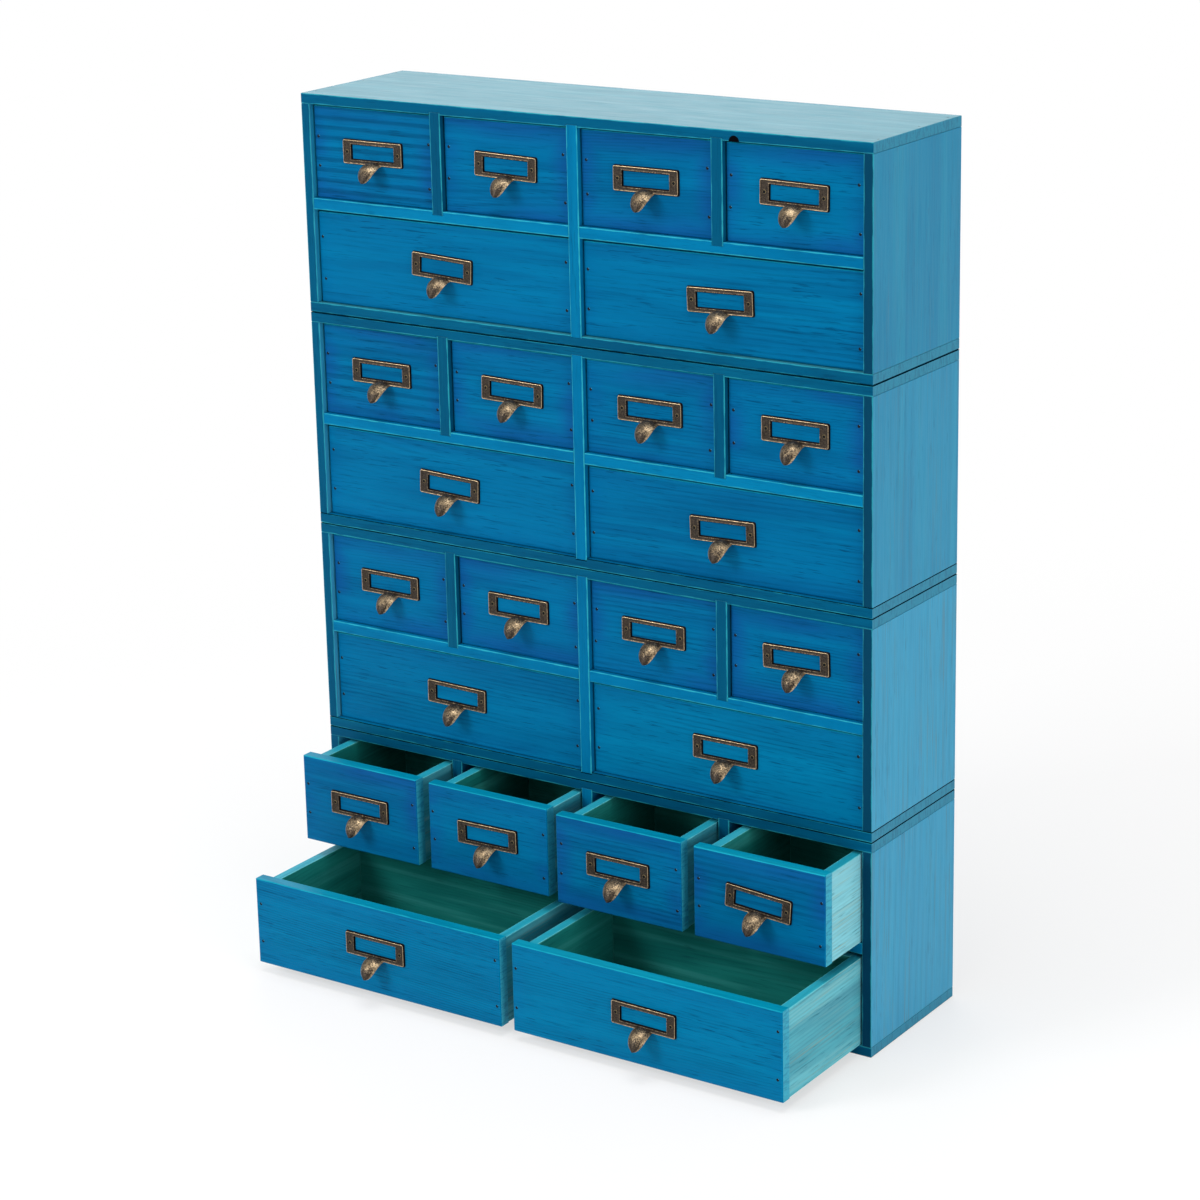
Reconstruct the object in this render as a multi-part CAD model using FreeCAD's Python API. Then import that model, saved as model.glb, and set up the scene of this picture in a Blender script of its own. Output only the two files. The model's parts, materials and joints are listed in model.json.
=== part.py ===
import FreeCAD, Part
import math
import os

Vector = FreeCAD.Vector

# A free-standing stack of wooden drawer boxes, each with four small drawers above two wide ones.
# Millimetres, +Z up. The origin is the middle of the bottom box's underside, and the fronts face -Y.

# ---------------------------------------------------------------- the stack
BOX_COUNT = 4
STACK_GAP = 0.3                 # settled gap between one box and the box it rests on

# ---------------------------------------------------------------- one box
BOX_WIDTH = 630.0
BOX_DEPTH = 162.0
BOX_HEIGHT = 215.0
DECK_THICKNESS = 10.0           # top and bottom boards, which run over the side boards
SIDE_THICKNESS = 10.0
DIVIDER_THICKNESS = 12.0        # the centre divider and the two short ones
SHELF_THICKNESS = 11.0
BACK_THICKNESS = 4.0            # back panel, set in flush between the boards
DECK_HOUSING_DEPTH = 2.0        # how deep a divider is let into the top or bottom board
SHELF_HOUSING_DEPTH = 4.0       # how deep a short divider is let into the shelf below it
SMALL_BAY_HEIGHT = 91.5         # clear height of the upper row; the lower row gets the rest

# ---------------------------------------------------------------- drawers
FRONT_THICKNESS = 12.0
FRONT_RECESS = 5.0              # closed front, behind the front edges of the case
FRONT_SIDE_GAP = 1.2            # between the front and the boards beside it, each side
SMALL_TOP_GAP = 1.5             # over the fronts of the upper row
WIDE_TOP_GAP = 2.6              # over the fronts of the lower row
FRONT_EASING = 0.8              # chamfer round the face of the front
RUNNING_GAP = 0.3               # under the drawer
REAR_GAP = 2.0                  # behind the closed drawer
OVERHANG_LEFT = 10.0            # front board past the left side of the tray
OVERHANG_RIGHT = 1.0            # front board past the right side of the tray
TRAY_SIDE_THICKNESS = 10.0
TRAY_BACK_THICKNESS = 10.0
TRAY_TOP_DROP = 2.0             # the tray's top edges lie this far below the front's
TRAY_FLOOR_THICKNESS = 3.0
TRAY_FLOOR_RISE = 4.0           # underside of the floor, above the drawer's lower edges
GROOVE_DEPTH = 3.0              # how deep the floor is let into the boards round it

# how the drawers of the bottom box stand, from left to right
SMALL_DRAWERS_OUT = (64.0, 63.0, 69.0, 70.0)    # how far each small drawer is drawn out
WIDE_DRAWERS_HELD = (9.0, 9.0)  # how much of each wide drawer is still inside the case

# ---------------------------------------------------------------- label holder with its finger pull
PLATE_WIDTH = 70.0
PLATE_HEIGHT = 23.0
PLATE_THICKNESS = 1.6
PLATE_CORNER_CUT = 1.4          # chamfer across each corner of the plate
WINDOW_WIDTH = 51.0
WINDOW_HEIGHT = 15.0
RIM_WIDTH = 1.2                 # raised rims round the plate and round the window
RIM_HEIGHT = 0.6
PLATE_RISE = 3.0                # middle of the plate, above the middle of the front
LIP_WIDTH = 20.0                # at its root, on the plate's lower bar
LIP_REACH = 20.5                # outwards from the plate
LIP_DROP = 21.5                 # downwards from its root
LIP_THICKNESS = 1.8
LIP_CROWN = 4.0                 # how far the middle of the lip stands above its edges
LIP_ROOT_DROP = 0.4             # ridge of the root, below the window's edge
LIP_SWEEP = math.radians(81.0)  # how far the lip turns from straight out towards straight down
LIP_TAPER_POWER = 2.8           # higher keeps the lip wide for longer before its tip
LIP_LEAST_SHARE = 0.45          # crown and thickness keep at least this share at the tip
LIP_LAST_SECTION = 0.98         # its end face, as a share of the way to where it would taper to nothing
LIP_STEPS = 6                   # facets along the lip
LIP_FACETS = 6                  # facets across it

# ---------------------------------------------------------------- worked out from the sizes above
CASE_FRONT = -BOX_DEPTH / 2
CASE_BACK = BOX_DEPTH / 2
INNER_BACK = CASE_BACK - BACK_THICKNESS
INNER_RIGHT = BOX_WIDTH / 2 - SIDE_THICKNESS
INNER_LEFT = -INNER_RIGHT
FLOOR_LEVEL = DECK_THICKNESS
CEILING_LEVEL = BOX_HEIGHT - DECK_THICKNESS
SHELF_TOP = CEILING_LEVEL - SMALL_BAY_HEIGHT
SHELF_UNDERSIDE = SHELF_TOP - SHELF_THICKNESS
SMALL_FRONT_TOP = CEILING_LEVEL - SMALL_TOP_GAP
WIDE_FRONT_TOP = SHELF_UNDERSIDE - WIDE_TOP_GAP
WIDE_BAY = (INNER_RIGHT - INNER_LEFT - DIVIDER_THICKNESS) / 2
SMALL_BAY = (WIDE_BAY - DIVIDER_THICKNESS) / 2
DRAWER_DEPTH = BOX_DEPTH - FRONT_RECESS - BACK_THICKNESS - REAR_GAP
WIDE_DRAWERS_OUT = [FRONT_RECESS + DRAWER_DEPTH - held for held in WIDE_DRAWERS_HELD]

WIDE_BAY_STARTS = [INNER_LEFT, DIVIDER_THICKNESS / 2]
SMALL_BAY_STARTS = [start + side * (SMALL_BAY + DIVIDER_THICKNESS)
                    for start in WIDE_BAY_STARTS for side in (0, 1)]
SHORT_DIVIDER_STARTS = [start + SMALL_BAY for start in WIDE_BAY_STARTS]


def block(x_low, x_high, y_low, y_high, z_low, z_high):
    """A board given by its two corners."""
    size = (x_high - x_low, y_high - y_low, z_high - z_low)
    return Part.makeBox(*size, Vector(x_low, y_low, z_low))


def write_node(name, solids, lift):
    """Writes the solids as one node, raised to the level of their box."""
    group = Part.makeCompound(solids)
    group.translate(Vector(0, 0, lift))
    group.exportStep(f"parts/{name}.step")


# ---------------------------------------------------------------- the case
def dividers():
    """The centre divider and the two short dividers, let into the boards above and below."""
    centre = block(-DIVIDER_THICKNESS / 2, DIVIDER_THICKNESS / 2, CASE_FRONT, INNER_BACK,
                   FLOOR_LEVEL - DECK_HOUSING_DEPTH, CEILING_LEVEL + DECK_HOUSING_DEPTH)
    short = [block(x, x + DIVIDER_THICKNESS, CASE_FRONT, INNER_BACK,
                   SHELF_TOP - SHELF_HOUSING_DEPTH, CEILING_LEVEL + DECK_HOUSING_DEPTH)
             for x in SHORT_DIVIDER_STARTS]
    return centre, short


def shelves():
    """The two halves of the shelf, each fitted tight between a side board and the centre divider."""
    return [block(x, x + WIDE_BAY, CASE_FRONT, INNER_BACK, SHELF_UNDERSIDE, SHELF_TOP)
            for x in WIDE_BAY_STARTS]


def frame_boards():
    """The bottom, top, left and right boards, before their housings are cut."""
    outer = BOX_WIDTH / 2
    bottom = block(-outer, outer, CASE_FRONT, CASE_BACK, 0, FLOOR_LEVEL)
    top = block(-outer, outer, CASE_FRONT, CASE_BACK, CEILING_LEVEL, BOX_HEIGHT)
    left = block(-outer, INNER_LEFT, CASE_FRONT, CASE_BACK, FLOOR_LEVEL, CEILING_LEVEL)
    right = block(INNER_RIGHT, outer, CASE_FRONT, CASE_BACK, FLOOR_LEVEL, CEILING_LEVEL)
    return [bottom, top, left, right]


def write_case(box_name, lift):
    """Cuts each housing with the very board that sits in it, and writes the case's nodes."""
    centre, short = dividers()
    frame = [board.cut([centre, *short]) for board in frame_boards()]
    halves = [half.cut(short) for half in shelves()]
    back = block(INNER_LEFT, INNER_RIGHT, INNER_BACK, CASE_BACK, FLOOR_LEVEL, CEILING_LEVEL)
    write_node(f"{box_name}_case", frame, lift)
    write_node(f"{box_name}_dividers", [centre, *short, *halves], lift)
    write_node(f"{box_name}_back_panel", [back], lift)


# ---------------------------------------------------------------- drawers
def front_board(x_low, x_high, y_low, z_low, z_high):
    """A drawer front with the edges of its face eased."""
    board = block(x_low, x_high, y_low, y_low + FRONT_THICKNESS, z_low, z_high)
    face_edges = [edge for edge in board.Edges if edge.BoundBox.YMax < y_low + FRONT_THICKNESS / 2]
    return board.makeChamfer(FRONT_EASING, face_edges)


def drawer_boards(bay_start, bay_width, bay_floor, z_front_top, drawn_out):
    """Front, two sides, back and floor. The floor sits in a groove in the boards round it."""
    y_front = CASE_FRONT + FRONT_RECESS - drawn_out
    y_tray = y_front + FRONT_THICKNESS
    y_back = y_front + DRAWER_DEPTH
    z_low = bay_floor + RUNNING_GAP
    z_tray_top = z_front_top - TRAY_TOP_DROP
    x_front_left = bay_start + FRONT_SIDE_GAP
    x_front_right = bay_start + bay_width - FRONT_SIDE_GAP
    x_left = x_front_left + OVERHANG_LEFT
    x_right = x_front_right - OVERHANG_RIGHT
    inner_left = x_left + TRAY_SIDE_THICKNESS
    inner_right = x_right - TRAY_SIDE_THICKNESS
    inner_back = y_back - TRAY_BACK_THICKNESS
    z_floor = z_low + TRAY_FLOOR_RISE

    floor = block(inner_left - GROOVE_DEPTH, inner_right + GROOVE_DEPTH,
                  y_tray - GROOVE_DEPTH, inner_back + GROOVE_DEPTH,
                  z_floor, z_floor + TRAY_FLOOR_THICKNESS)
    front = front_board(x_front_left, x_front_right, y_front, z_low, z_front_top)
    left = block(x_left, inner_left, y_tray, y_back, z_low, z_tray_top)
    right = block(inner_right, x_right, y_tray, y_back, z_low, z_tray_top)
    back = block(inner_left, inner_right, inner_back, y_back, z_low, z_tray_top)
    return [board.cut(floor) for board in (front, left, right, back)] + [floor]


def lip_section(along):
    """The corners of one crescent section of the lip, square to its curve."""
    turn = along * LIP_SWEEP
    taper = math.sqrt(1 - along ** LIP_TAPER_POWER)
    keep = LIP_LEAST_SHARE + (1 - LIP_LEAST_SHARE) * taper
    half_width = LIP_WIDTH / 2 * taper
    inner_half_width = half_width * (1 - 2 * LIP_THICKNESS / LIP_WIDTH)
    crown = LIP_CROWN * keep
    thickness = LIP_THICKNESS * keep
    ridge = Vector(0, -LIP_REACH * math.sin(turn), -LIP_DROP * (1 - math.cos(turn)))
    inwards = Vector(0, math.sin(turn), -math.cos(turn))
    across = [2 * step / LIP_FACETS - 1 for step in range(LIP_FACETS + 1)]
    outer = [ridge + Vector(share * half_width, 0, 0) + inwards * (crown * share ** 2)
             for share in across]
    inner = [ridge + Vector(share * inner_half_width, 0, 0)
             + inwards * (thickness + (crown - thickness) * share ** 2)
             for share in reversed(across)]
    return outer + inner


def flat_face(*corners):
    return Part.Face(Part.makePolygon([*corners, corners[0]]))


def finger_lip():
    """The spoon-shaped lip in flat facets, with the ridge of its root at the origin."""
    quarter_turn = math.pi / 2
    sections = [lip_section(LIP_LAST_SECTION * math.sin(step / LIP_STEPS * quarter_turn))
                for step in range(LIP_STEPS + 1)]
    faces = [flat_face(*sections[0]), flat_face(*sections[-1])]
    for near, far in zip(sections, sections[1:]):
        for corner in range(len(near)):
            faces.append(flat_face(near[corner - 1], near[corner], far[corner]))
            faces.append(flat_face(near[corner - 1], far[corner], far[corner - 1]))
    return Part.Solid(Part.Shell(faces))


def label_holder():
    """The cast plate, its rims and its lip in one piece, centred on the origin, its back at y = 0."""
    half_width, half_height = PLATE_WIDTH / 2, PLATE_HEIGHT / 2
    rim_face = -PLATE_THICKNESS - RIM_HEIGHT
    plate = block(-half_width, half_width, rim_face, 0, -half_height, half_height)
    corners = [edge for edge in plate.Edges if edge.BoundBox.XLength + edge.BoundBox.ZLength < 0.001]
    plate = plate.makeChamfer(PLATE_CORNER_CUT, corners)
    window = block(-WINDOW_WIDTH / 2, WINDOW_WIDTH / 2, rim_face, 0,
                   -WINDOW_HEIGHT / 2, WINDOW_HEIGHT / 2)
    sunk = block(RIM_WIDTH - half_width, half_width - RIM_WIDTH, rim_face, -PLATE_THICKNESS,
                 RIM_WIDTH - half_height, half_height - RIM_WIDTH)
    window_rim = block(-WINDOW_WIDTH / 2 - RIM_WIDTH, WINDOW_WIDTH / 2 + RIM_WIDTH,
                       rim_face, -PLATE_THICKNESS,
                       -WINDOW_HEIGHT / 2 - RIM_WIDTH, WINDOW_HEIGHT / 2 + RIM_WIDTH)
    plate = plate.cut(sunk.cut(window_rim)).cut(window)
    lip = finger_lip()
    lip.translate(Vector(0, -PLATE_THICKNESS / 2, -WINDOW_HEIGHT / 2 - LIP_ROOT_DROP))
    return plate.fuse(lip).removeSplitter()


def write_drawer(name, holder, bay_start, bay_width, bay_floor, z_front_top, drawn_out, lift):
    """Writes the drawer's boards and the label holder that is screwed to its front."""
    boards = drawer_boards(bay_start, bay_width, bay_floor, z_front_top, drawn_out)
    write_node(name, boards, lift)
    face = boards[0].BoundBox
    pull = holder.copy()
    pull.translate(Vector(face.Center.x, face.YMin, face.Center.z + PLATE_RISE))
    write_node(f"{name}_pull", [pull], lift)


# ---------------------------------------------------------------- the whole stack
def write_box(number, holder):
    """One box with its six drawers. Only the bottom box stands with its drawers drawn out."""
    box_name = f"box_{number}"
    lift = (number - 1) * (BOX_HEIGHT + STACK_GAP)
    share_out = 1 if number == 1 else 0
    write_case(box_name, lift)
    for place, (start, out) in enumerate(zip(SMALL_BAY_STARTS, SMALL_DRAWERS_OUT), 1):
        write_drawer(f"{box_name}_small_drawer_{place}", holder, start, SMALL_BAY,
                     SHELF_TOP, SMALL_FRONT_TOP, out * share_out, lift)
    for place, (start, out) in enumerate(zip(WIDE_BAY_STARTS, WIDE_DRAWERS_OUT), 1):
        write_drawer(f"{box_name}_wide_drawer_{place}", holder, start, WIDE_BAY,
                     FLOOR_LEVEL, WIDE_FRONT_TOP, out * share_out, lift)


os.makedirs("parts", exist_ok=True)
cast_holder = label_holder()
for box_number in range(1, BOX_COUNT + 1):
    write_box(box_number, cast_holder)
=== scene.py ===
"""The looks of a stack of stained wooden drawer boxes with cast label holders.

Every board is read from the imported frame, so it keeps its place and size. It is given rounded edges, a
grain direction and a stain. The label holders are modelled again in finer detail over the same outlines.
Metres, +Z up, fronts face -Y.
"""

import json
import math
import random

import bmesh
import bpy
from mathutils import Matrix, Vector


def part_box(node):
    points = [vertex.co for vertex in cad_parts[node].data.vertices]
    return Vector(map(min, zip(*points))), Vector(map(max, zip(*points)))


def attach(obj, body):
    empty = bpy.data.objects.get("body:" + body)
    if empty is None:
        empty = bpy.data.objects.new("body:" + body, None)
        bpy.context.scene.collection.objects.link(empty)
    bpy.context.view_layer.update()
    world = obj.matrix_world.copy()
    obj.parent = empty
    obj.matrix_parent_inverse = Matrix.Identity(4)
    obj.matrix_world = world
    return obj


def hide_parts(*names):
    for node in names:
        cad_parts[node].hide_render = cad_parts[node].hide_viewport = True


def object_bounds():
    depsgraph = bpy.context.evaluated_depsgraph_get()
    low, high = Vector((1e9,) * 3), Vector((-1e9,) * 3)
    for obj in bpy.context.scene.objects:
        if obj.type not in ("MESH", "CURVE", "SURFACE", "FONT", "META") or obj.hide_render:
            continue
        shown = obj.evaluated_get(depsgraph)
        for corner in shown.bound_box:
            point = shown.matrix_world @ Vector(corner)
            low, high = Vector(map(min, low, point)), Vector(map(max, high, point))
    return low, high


MM = 0.001
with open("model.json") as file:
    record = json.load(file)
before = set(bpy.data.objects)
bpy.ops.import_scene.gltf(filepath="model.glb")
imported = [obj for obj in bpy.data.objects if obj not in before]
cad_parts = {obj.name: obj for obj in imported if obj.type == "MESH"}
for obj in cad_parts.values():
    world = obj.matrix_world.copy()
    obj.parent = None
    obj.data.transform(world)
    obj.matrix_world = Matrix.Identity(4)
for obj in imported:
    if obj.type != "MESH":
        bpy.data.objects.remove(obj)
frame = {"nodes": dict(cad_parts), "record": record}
cad_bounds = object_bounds()
chance = random.Random(24)

# ---------------------------------------------------------------- boards: sizes, grain and coats
EDGE_ROUNDING = {"case": 0.7 * MM, "drawer": 0.5 * MM}
FRONT_EDGE_ROUNDING = 0.35 * MM         # on top of the chamfer that the front already has
THINNEST_FRONT = 11 * MM                # a thinner upright board across a drawer is its back
FULL_WIDTH, FULL_HEIGHT = 500 * MM, 150 * MM   # longer boards run right across or right up the case
BOX_PITCH = 215.3 * MM                  # from the underside of one box to that of the next
SAME_CORNER = 0.001 * MM                # corners that agree to this are one
SAME_PLANE = math.radians(0.5)          # faces that differ by less are one
SHARP_TURN = math.radians(30)           # edges that turn more than this are rounded
SQUARE_ON = 0.9                         # a face looks along an axis if its normal has more than this of it
SEAM_EDGE = (0.3, 0.95)                 # how far a rounded edge beside a seam looks towards it, from and to; these faces are painted near-black as the seam's shade
CHAMFER_UP = 0.4                        # a front's faces that look up more than this are its upper edge, painted lighter as the light from above

RING_WIDTH = {"panel": (9, 14), "case": (4, 7), "drawer": (2.5, 5)}   # mm, from and to
RINGS_SHOW, RINGS_STAND_OUT = (0.35, 0.8), (0.1, 0.35)
HEART_ACROSS, HEART_DEEP = (0.8, 2.2), (0.02, 0.1)   # of the log: board widths away, and metres
TILT_ACROSS, TILT_DEEP = 0.05, 0.1      # how far the grain may run out of a board, to the metre
RING_DRIFT = 0.12                       # how fast the rings' waves change along the grain
RIDGED = {"box_4_small_drawer_1": 0.8, "box_3_small_drawer_1": 0.55}   # how strong their ridges are
RIDGE_SPACING, RIDGE_HEART = 10 * MM, (-160 * MM, 20 * MM)
RIDGES_SHOW, RIDGES_STAND_OUT = 1.9, 1.8   # at a strength of 1
GRAIN_SHIFT, CAST_SHIFT = 9, 5          # metres, so that no two pieces show the same patch of a texture

TONE = {                                # how heavy the coat is on each kind of board of the case
    "board": 0.15, "shelf": 0.0, "divider": 0.3, "tall divider": 0.1, "panel": 0.2, "right panel": 0.85,
    "back": 0.0,
}
PANEL_THIN = (0.45, 0.5, 0.2, 0.0)      # how thin the side panels' coat is, from the bottom box up
THIN_COAT = {                           # how thin the drawer fronts' coat is, from and to
    "bottom": {"small": (0.0, 0.15), "wide": (0.3, 0.45)},
    "others": {"small": (0.0, 0.05), "wide": (0.05, 0.15)},
}
EXTRA_THIN = {"box_2_wide_drawer_2": 0.3, "box_4_small_drawer_4": 0.15, "box_4_wide_drawer_2": 0.05}
TRAY_THIN, PALE_TRAYS = 0.1, {"box_1_small_drawer_4": 0.65, "box_1_wide_drawer_2": 0.24}
BLOOM = {"small": 0.6, "wide": 0.12}    # how violet the fronts' coat turns near their edges
NO_EDGE = 1.0                           # metres added to how far a board's ends are, where no rim shows

# ---------------------------------------------------------------- label holders, screws, brads and nails
PLATE_HEIGHT = 23 * MM
PLATE_FACE = 1.6 * MM                   # how far its flat face, where the screws sit, stands out
PLATE_CORNER, CORNER_SHRINKS = 1.6 * MM, 0.5   # its corners' radius, and how fast that shrinks inwards
WINDOW = (51 * MM, 15 * MM)
WINDOW_CORNER, CORNER_GROWS = 0.5 * MM, 0.2   # the same at the window, where it grows outwards
LIP_WIDTH = 20 * MM
LIP_DROP = 21.5 * MM
LIP_CROWN = 4 * MM
LIP_THICKNESS = 1.8 * MM
LIP_SWEEP = math.radians(81)
LIP_ROOT_DROP = 0.4 * MM
LIP_ROOT_DEPTH = 0.8 * MM               # the lip starts this far out from the back of the plate
LIP_TAPER_POWER = 2.8
LIP_LEAST_SHARE = 0.45
LIP_END = 0.995                         # its last section, as a share of the way to its vanishing point
LIP_HOLLOW = 1.4                        # thicknesses by which the lip's hollow is narrower than the lip
LIP_STEPS, LIP_FACETS = 16, 14
LIP_WORN = {"root": 0.15, "middle": 0.4, "edge": 0.6, "underside": -0.3}   # middle is on top of root
LIP_WORN_EDGE, LIP_WORN_SPEED = 0.8, 1.15   # where the edge starts, and how soon the rubbing fades out
CORNER_STEPS, SIDE_STEPS = 4, 6
SMOOTH_TURN = math.radians(50)          # metal faces that meet at less are shaded as one

HOLDER_TILT = {                         # degrees, right end down: the crooked ones, as put on by hand
    "box_4_small_drawer_2_pull": 1.4, "box_4_small_drawer_4_pull": 1.0, "box_4_wide_drawer_1_pull": 2.7,
    "box_4_wide_drawer_2_pull": -1.6, "box_3_small_drawer_2_pull": 1.3, "box_3_wide_drawer_1_pull": 2.2,
    "box_3_wide_drawer_2_pull": -1.6, "box_2_small_drawer_4_pull": -1.3, "box_2_wide_drawer_1_pull": 0.9,
    "box_1_small_drawer_2_pull": -0.9, "box_1_small_drawer_4_pull": 4.0, "box_1_wide_drawer_2_pull": 0.8,
}
SCREW_RADIUS, SCREW_FACETS = 1.9 * MM, 16
SCREW_HEAD = ((1.0, 0.0), (0.97, 0.22), (0.9, 0.34))   # shares of its radius, and mm out of the plate
SCREW_RECESS = ((0.86, 0.36), (0.8, 0.26))   # the same, for the recess in it, painted near-black as its shade
RECESS_STAR = (1.0, 0.94, 0.88, 0.94)
BRAD_RADIUS, BRAD_FACETS = 1.2 * MM, 12
BRAD_HEAD = (                           # shares of its radius, and mm out of the wood
    (1.25, -0.2), (1.25, 0.02), (0.85, 0.08), (0.5, 0.06),
)
GLINT_FACET = 1                           # of a brad's head, which takes the painted glint
BRAD_INSET = 5 * MM                     # from the ends of the front
BRAD_HEIGHTS = {                        # shares of the front's height, from its top
    "small": {"left": (0.33, 0.66), "right": (0.30, 0.79)},
    "wide": {"left": (0.28, 0.73), "right": (0.24, 0.77)},
}
BRAD_STRAY_ACROSS, BRAD_STRAY_UP = 1, 1.5   # mm off its place, at most
NAIL_RADIUS = 1.1 * MM
NAIL_SUNK = 0.06 * MM                   # leaves a nail's dome almost level with the board's face
NAIL_INSET = 5 * MM                     # from the ends of the top board
NAIL_PLACES = (17 * MM, 92 * MM, 146 * MM)   # from its front edge
NAIL_STRAY = 1                          # mm off its place, at most

# ---------------------------------------------------------------- the knot
DECK_THICKNESS = 10 * MM
KNOT_RADIUS, KNOT_STEPS = 5.4 * MM, 12
KNOT_ACROSS = 174 * MM                  # to the right of the middle
KNOT_PROUD = 0.04 * MM                  # in front of the board, so that it shows


# ---------------------------------------------------------------- colours and material nodes
def screen_colour(red, green, blue):
    """A colour given as it shows on screen, from 0 to 255, as the linear values that shaders take."""
    shares = (red / 255, green / 255, blue / 255)
    linear = [s / 12.92 if s <= 0.04045 else ((s + 0.055) / 1.055) ** 2.4 for s in shares]
    return (*linear, 1.0)


WHITE = (1, 1, 1, 1)
STAIN_GLOSS = (0, 0.4, 0.8, 1)          # the stain colours the straight-on reflection, not the grazing one
MATT_WOOD, GLOSSY_WOOD = 0.12, 0.3      # specular levels
HEAVY_COAT = screen_colour(6, 52, 76)
VIOLET = screen_colour(14, 70, 138)
LATE_WOOD = screen_colour(0, 24, 50)
BRONZE_DARK = screen_colour(38, 33, 29)
BRONZE_LIGHT = screen_colour(75, 65, 55)
BRONZE_RUBBED = screen_colour(198, 172, 134)
# near-black: pits in the casting, and the painted shade on the holder's walls and on the skirt round it
BRONZE_PIT_AND_SHADE = screen_colour(10, 9, 9)
ONE_RING = 0.314                        # the wave texture's scale at which a ring is one unit wide
BLOOM_REACH = (2 * MM, 26 * MM)         # from an edge, over which the violet fades
WORN_RIM = (0.7 * MM, 1.6 * MM)         # how wide the worn colour runs along an edge, from and to
FEATURES = {                            # of a texture to the metre: along the grain, across it, through it
    "clouds": (5, 26, 26), "drift": (2.5, 75, 75), "violet": (7, 22, 22), "late wood": (6, 34, 34),
    "fibres": (18, 520, 520), "pores": (44, 700, 700), "porous": (9, 50, 50), "streaks": (9, 560, 560),
    "rubbed off": (5, 40, 40), "wear": (60, 60, 60), "speckle": (300, 900, 900), "hatch": (20, 420, 90),
    "casting": (820, 820, 820), "patina": (170, 170, 170), "spots": (900, 900, 900),
}
SPANS = {                               # what span() takes for each: low, high and what they are moved to
    "clouds": (0.56, 0.36), "drift": (0.48, 0.70), "violet": (0.38, 0.60, 0.25, 1.0),
    "late wood": (0.38, 0.64, 0.1, 1.0), "ring": (0.35, 1.0), "fibres": (0.5, 0.8), "pores": (0.58, 0.70),
    "porous": (0.42, 0.62, 0.25, 1.0), "streaks": (0.52, 0.68), "rubbed off": (0.35, 0.65),
    "thin coat": (0.0, 0.6, 0.3, 1.0), "wear": (0.3, 0.7), "rough fibres": (0.3, 0.8),
    "speckle": (0.5, 0.7), "hatch": (0.5, 0.62),
    "cast speckle": (0.25, 0.75, -0.19, 0.19), "patina": (0.3, 0.7, -0.07, 0.07), "brown": (0.3, 0.7),
    # pits_and_shade turns the bronze near-black, for its pits and for the painted shade on its walls and
    # skirt
    "bright": (0.3, 0.95), "pits_and_shade": (-0.7, -0.2), "bronze roughness": (0.2, 1.0, 0.54, 0.27),
    "screw roughness": (0.3, 0.7, 0.5, 0.7),
}
RELIEF = {"wood": (0.35 * MM, 0.6), "ends": (0.2 * MM, 0.5), "casting": (0.12 * MM, 0.7)}   # and strength
LEAST_BARE = 0.2                        # of the bare share, where the stain is hardly rubbed off
MOST_DARK = 0.9                         # the share that late wood, fibres and pores reach together
LATE_SHARE = 0.55                       # of the late wood's colour in the dark marks
FIBRES_ROUGHER = 0.14                   # than the wood between them
FIBRES_HEIGHT = 0.25                    # in the same measure as RINGS_STAND_OUT
SPECKLE_SHARE = 0.4                     # how strong the speckle on the cut ends shows


class Surface:
    """A material with short ways to add nodes and join them up."""

    def __init__(self, name):
        self.material = bpy.data.materials.new(name)
        self.material.use_nodes = True
        self.tree = self.material.node_tree
        self.shader = self.tree.nodes["Principled BSDF"]

    def node(self, kind, inputs=None, **settings):
        added = self.tree.nodes.new(kind)
        for name, value in settings.items():
            setattr(added, name, value)
        for socket, value in (inputs or {}).items():
            self.join(value, added.inputs[socket])
        return added

    def join(self, value, socket):
        if isinstance(value, bpy.types.NodeSocket):
            self.tree.links.new(value, socket)
        else:
            socket.default_value = value

    def attribute(self, name):
        return self.node("ShaderNodeAttribute", attribute_name=name).outputs["Vector"]

    def value(self, operation, first, second=0.0, third=0.0):
        made = self.node("ShaderNodeMath", {0: first, 1: second, 2: third}, operation=operation)
        return made.outputs[0]

    def vector(self, operation, first, second):
        made = self.node("ShaderNodeVectorMath", {0: first, 1: second}, operation=operation)
        return made.outputs["Value" if operation == "LENGTH" else "Vector"]

    def parts(self, vector):
        return self.node("ShaderNodeSeparateXYZ", {0: vector}).outputs

    def rough_field(self, place, texture, detail=2.0, roughness=0.5):
        """Noise from 0 to 1, as fine along each axis as FEATURES says of the texture."""
        scaled = self.vector("MULTIPLY", place, FEATURES[texture])
        made = self.node("ShaderNodeTexNoise", {"Vector": scaled, "Scale": 1.0, "Detail": detail,
                                                "Roughness": roughness})
        return made.outputs[0]

    def span(self, value, low, high, to_low=0.0, to_high=1.0):
        """Moves low..high to to_low..to_high smoothly, and stops at both ends."""
        made = self.node("ShaderNodeMapRange",
                         {"Value": value, "From Min": low, "From Max": high, "To Min": to_low,
                          "To Max": to_high}, interpolation_type="SMOOTHSTEP")
        return made.outputs[0]

    def mix(self, share, first, second):
        made = self.node("ShaderNodeMix", {0: share, 6: first, 7: second}, data_type="RGBA")
        return made.outputs[2]

    def relief(self, height, depth, strength):
        made = self.node("ShaderNodeBump", {"Height": height, "Distance": depth, "Strength": strength})
        return made.outputs[0]


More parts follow.
